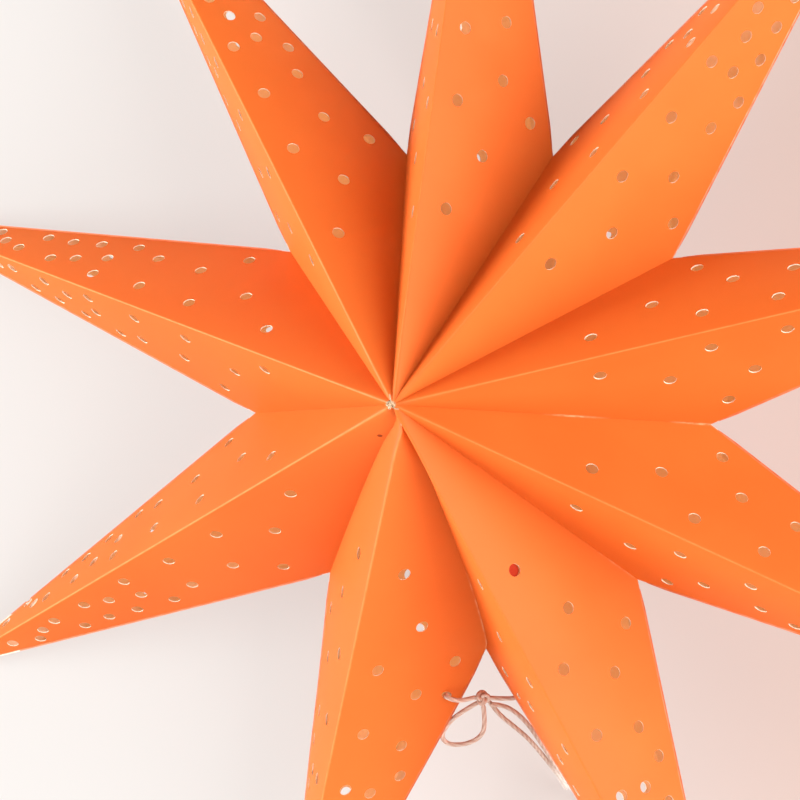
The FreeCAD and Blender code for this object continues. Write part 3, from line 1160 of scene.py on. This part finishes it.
@dataclass
class ClosingTie:
    """Cord that ties the open seam, with its bow: one loop and two loose tails."""

    cord: TwistedCord = field(default_factory=lambda: TwistedCord(groove=0.035))
    knot_place: tuple[float, float, float] = (-21.4, -133.0, 79.3)
    knot_size: float = 0.0070
    lengths: tuple[tuple[str, float], ...] = (
        ("bow_loop", 0.0630), ("bow_tail_upper", 0.1095), ("bow_tail_lower", 0.0938),
    )
    routes: dict[str, tuple[tuple[float, float, float], ...]] = field(default_factory=lambda: {
        "seam_cord_left": (
            (-35.8, -131.3, 76.0), (-38.0, -131.6, 83.2), (-35.2, -133.0, 84.6),
            (-30.5, -134.4, 81.0), (-25.4, -133.0, 79.3),
        ),
        "seam_cord_right": (
            (-2.6, -130.1, 84.1), (-0.4, -129.9, 76.9), (-3.4, -131.8, 75.6),
            (-9.1, -133.6, 78.0), (-17.4, -133.0, 79.3),
        ),
        "bow_loop": (
            (-23.6, -135.2, 76.8), (-31.0, -139.6, 75.0), (-37.0, -144.7, 72.2),
            (-41.1, -151.3, 68.5), (-38.3, -155.2, 66.5), (-31.3, -155.2, 67.0),
            (-24.5, -152.2, 69.0), (-20.9, -146.5, 72.5), (-21.6, -136.2, 76.9),
        ),
        "bow_tail_upper": (
            (-18.4, -135.8, 77.6), (-13.3, -136.6, 74.5), (-8.8, -140.1, 68.5), (-5.0, -145.7, 59.0),
            (-1.6, -153.7, 47.0), (1.7, -162.7, 33.0), (5.3, -172.6, 19.0), (9.8, -182.1, 8.0),
            (15.6, -189.2, 2.8), (23.2, -193.7, 1.7),
        ),
        "bow_tail_lower": (
            (-19.2, -134.9, 75.6), (-15.8, -140.6, 72.0), (-10.4, -146.7, 63.5), (-5.4, -153.7, 50.5),
            (-1.8, -161.5, 35.5), (1.5, -169.5, 21.0), (4.7, -177.1, 9.0), (7.7, -184.0, 2.0),
        ),
    })

    def knot(self, cotton: bpy.types.Material) -> bpy.types.Object:
        """Knot of the bow: a closed trefoil line, pulled tight into a ball.

        The line goes twice round the knot while it goes three times over and under.
        """
        turns = np.linspace(0.0, 2 * math.pi, 160, endpoint=False)
        reach = (self.knot_size - self.cord.diameter) / 2
        ring = 0.62 + 0.38 * np.cos(3 * turns)
        line = reach * np.column_stack([
            ring * np.cos(2 * turns), ring * np.sin(2 * turns), 0.62 * np.sin(3 * turns),
        ])
        place = np.array(self.knot_place) * MM
        knot = self.cord.tube("bow_knot_turns", line + place, closed=True)
        knot.data.materials.append(cotton)
        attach(knot, BODY)
        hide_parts("bow_knot")
        return knot

    def build(self, cotton: bpy.types.Material) -> list[bpy.types.Object]:
        """Build the knot, the two strands at the seam, the loop and the tails.

        Args:
            cotton: finish of the cord.

        Returns:
            All pieces of the tie.
        """
        knot = self.knot(cotton)
        pieces = [knot]
        lengths = dict(self.lengths)
        for name, route in self.routes.items():
            line = self.cord.line(np.array(route) * MM)
            if name not in lengths:
                into_knot = np.linspace(line[-1], np.array(self.knot_place) * MM, 12)[1:9]
                line = np.vstack([line, into_knot])
            piece = self.cord.tube(f"{name}_strands", line)
            piece.data.materials.append(cotton)
            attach(piece, BODY)
            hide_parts(name)
            pieces.append(piece)
        return pieces


@dataclass
class CentreThread:
    """Thread that gathers the inner corners of the sheets, knotted outside them."""

    layout: StarLayout
    thread: TwistedCord = field(default_factory=lambda: TwistedCord(0.0011, 0.0034, sides=14, step=0.0003))
    thin: TwistedCord = field(default_factory=lambda: TwistedCord(0.00055, 0.0020, sides=8, step=0.0003))
    drawn_in: float = 0.92
    tails: tuple[tuple[float, float, float], ...] = ((102.0, 4.3, 0.7), (-28.0, 3.6, 0.3), (160.0, 2.6, 0.5))

    def tail(self, side: Side, bearing: float, reach: float, height: float) -> bpy.types.Object:
        """Thin cut end of the thread that lies on the paper: its way out, how far and how high."""
        away = polar(1.0, bearing, 0.0)
        aside = np.cross(away, np.array([0.0, 0.0, 1.0]))
        steps = np.linspace(0.0, 1.0, 14)[:, None]
        rise = side.value * (height * np.sin(math.pi * steps) - 0.9 * steps - 0.2)
        line = (
            steps * reach * away + 0.5 * np.sin(math.pi * steps) * aside
            + rise * np.array([0.0, 0.0, 1.0])
        )
        return self.thin.tube("thread_tail", self.layout.lay_down(line * MM + self.layout.knot_centre(side)))

    def build(self, side: Side, cotton: bpy.types.Material) -> bpy.types.Object:
        """Knot and strand at the centre of one side.

        Args:
            side: front or back of the star.
            cotton: finish of the thread.

        Returns:
            The knotted thread.
        """
        turns = np.linspace(0.0, 2 * math.pi, 150, endpoint=False)
        reach = self.layout.knot_radius * self.drawn_in - self.thread.diameter / 2
        ring = 0.55 + 0.45 * np.cos(3 * turns)
        line = reach * np.column_stack([
            ring * np.cos(2 * turns), ring * np.sin(2 * turns), 0.9 * np.sin(3 * turns),
        ])
        line = line + self.layout.knot_centre(side)
        name = f"{side.name.lower()}_thread"
        piece = self.thread.tube(f"{name}_knot", self.layout.lay_down(line), closed=True)
        tails = [self.tail(side, *tail) for tail in self.tails]
        with bpy.context.temp_override(active_object=piece, selected_editable_objects=[piece, *tails]):
            bpy.ops.object.join()
        piece.data.materials.append(cotton)
        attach(piece, BODY)
        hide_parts(name)
        return piece


@dataclass(frozen=True)
class Lamp:
    """Square soft lamp: where it stands, what it looks at, its width and its power."""

    name: str
    place: tuple[float, float, float]
    width: float
    power: float
    colour: tuple[float, float, float]

    def build(self, target: Vector) -> None:
        """Add the lamp, turned to the star."""
        light = bpy.data.lights.new(self.name, "AREA")
        light.shape = "SQUARE"
        light.size = self.width
        light.energy = self.power
        light.color = self.colour
        lamp = bpy.data.objects.new(self.name, light)
        bpy.context.scene.collection.objects.link(lamp)
        place = Vector(self.place)
        lamp.location = place
        lamp.rotation_mode = "QUATERNION"
        lamp.rotation_quaternion = (target - place).to_track_quat("-Z", "Y")


@dataclass
class Studio:
    """Pale floor, soft lamps and the camera that looks down on the star."""

    camera_place: tuple[float, float, float] = (0.12450, 0.03769, 1.34763)
    camera_back: tuple[float, float, float] = (0.14168, 0.03397, 0.98933)
    camera_up: tuple[float, float, float] = (-0.00410, 0.99942, -0.03373)
    lens: float = 135.0
    sensor: float = 36.0
    floor_size: float = 14.0
    floor_left: tuple[float, float, float] = (0.19, 0.185, 0.18)
    # Painted shade and painted bounce light: the floor's colour and glow go darker and pinker to the right.
    floor_right_painted_shade: tuple[float, float, float] = (0.26, 0.195, 0.175)
    glow_left: tuple[float, float, float] = (0.635, 0.61, 0.59)
    glow_right_painted_shade: tuple[float, float, float] = (0.37, 0.26, 0.22)
    painted_shade_turn: tuple[float, float] = (-0.16, 0.24)
    world_colour: tuple[float, float, float] = (1.0, 0.985, 0.97)
    world_strength: float = 0.06
    lamps: tuple[Lamp, ...] = (
        Lamp("window_left", (-2.4, 0.0, 0.75), 1.4, 124.0, (1.0, 0.985, 0.97)),
        Lamp("window_right", (1.97, 0.05, 1.58), 2.6, 148.0, (1.0, 0.985, 0.97)),
        Lamp("reflector_front", (0.0, -2.05, 1.48), 1.6, 32.0, (1.0, 0.985, 0.97)),
    )

    def floor(self) -> None:
        """Plain pale floor that glows a little, so that its shadows stay pale, with painted shade and painted
        orange bounce light that make it darker and pinker towards the right."""
        half = self.floor_size / 2
        points = half * np.array([[-1, -1, 0], [1, -1, 0], [1, 1, 0], [-1, 1, 0]], dtype=float)
        floor = add_mesh("floor", points, np.array([[0, 1, 2, 3]]))
        tree = NodeTree("pale_floor")
        place = tree.add("ShaderNodeSeparateXYZ")
        tree.link(tree.add("ShaderNodeTexCoord").outputs["Object"], place.inputs[0])
        # Painted shade and painted bounce light: darker and pinker towards the right.
        share = tree.ramp(place.outputs["X"], *self.painted_shade_turn)
        glow = tree.add("ShaderNodeEmission")
        tree.link(tree.mix(share, self.glow_left, self.glow_right_painted_shade), glow.inputs["Color"])
        both = tree.add("ShaderNodeAddShader")
        colour = tree.mix(share, self.floor_left, self.floor_right_painted_shade)
        tree.link(tree.principled(colour, 0.9, 0.1), both.inputs[0])
        tree.link(glow.outputs[0], both.inputs[1])
        floor.data.materials.append(tree.finish(both.outputs[0]))

    def world(self) -> None:
        """Even pale light from all sides."""
        world = bpy.data.worlds.new("studio")
        world.use_nodes = True
        background = world.node_tree.nodes["Background"]
        background.inputs["Color"].default_value = (*self.world_colour, 1.0)
        background.inputs["Strength"].default_value = self.world_strength
        bpy.context.scene.world = world

    def camera(self) -> None:
        """Camera at the viewing angle of the photograph."""
        data = bpy.data.cameras.new("camera")
        data.lens = self.lens
        data.sensor_width = self.sensor
        camera = bpy.data.objects.new("camera", data)
        bpy.context.scene.collection.objects.link(camera)
        back, up = np.array(self.camera_back), np.array(self.camera_up)
        matrix = np.eye(4)
        matrix[:3, :3] = np.column_stack([np.cross(up, back), up, back])
        matrix[:3, 3] = self.camera_place
        camera.matrix_world = Matrix(matrix.tolist())
        bpy.context.scene.camera = camera

    def build(self) -> None:
        """Set the stage."""
        self.floor()
        self.world()
        self.camera()
        target = Vector((0.0, 0.0, 0.06))
        for lamp in self.lamps:
            lamp.build(target)
        bpy.context.scene.view_settings.view_transform = "Standard"


def main() -> None:
    """Build the star, its ties and the studio."""
    logging.basicConfig(level=logging.INFO, format="%(name)s: %(message)s")
    layout = StarLayout()
    paper = LanternPaper()
    outside = paper.outside()
    inside = paper.plain("pale_paper_inside", paper.inside, paper.inside_through, paper.inside_painted_glow)
    core = paper.plain("pale_paper_core", paper.core, 0.1)
    # Painted shade: the disc behind one hole is coloured dark for the shade it lies in.
    pressed = paper.plain("painted_shade_disc", paper.disc_painted_shade, 0.1)
    for side in Side:
        for arm in range(len(layout.bearings())):
            sheet = FoldedSheet(layout, arm, side).build(outside, inside, core, pressed)
            LOG.info("%s: %d faces", sheet.name, len(sheet.data.polygons))
    cord = TIE_COTTON.material("cotton_cord")
    thread = THREAD_COTTON.material("cotton_thread")
    for piece in ClosingTie().build(cord):
        LOG.info("%s: %d faces", piece.name, len(piece.data.polygons))
    for side in Side:
        LOG.info("%s", CentreThread(layout).build(side, thread).name)
    Studio().build()


if __name__ == "__main__":
    main()
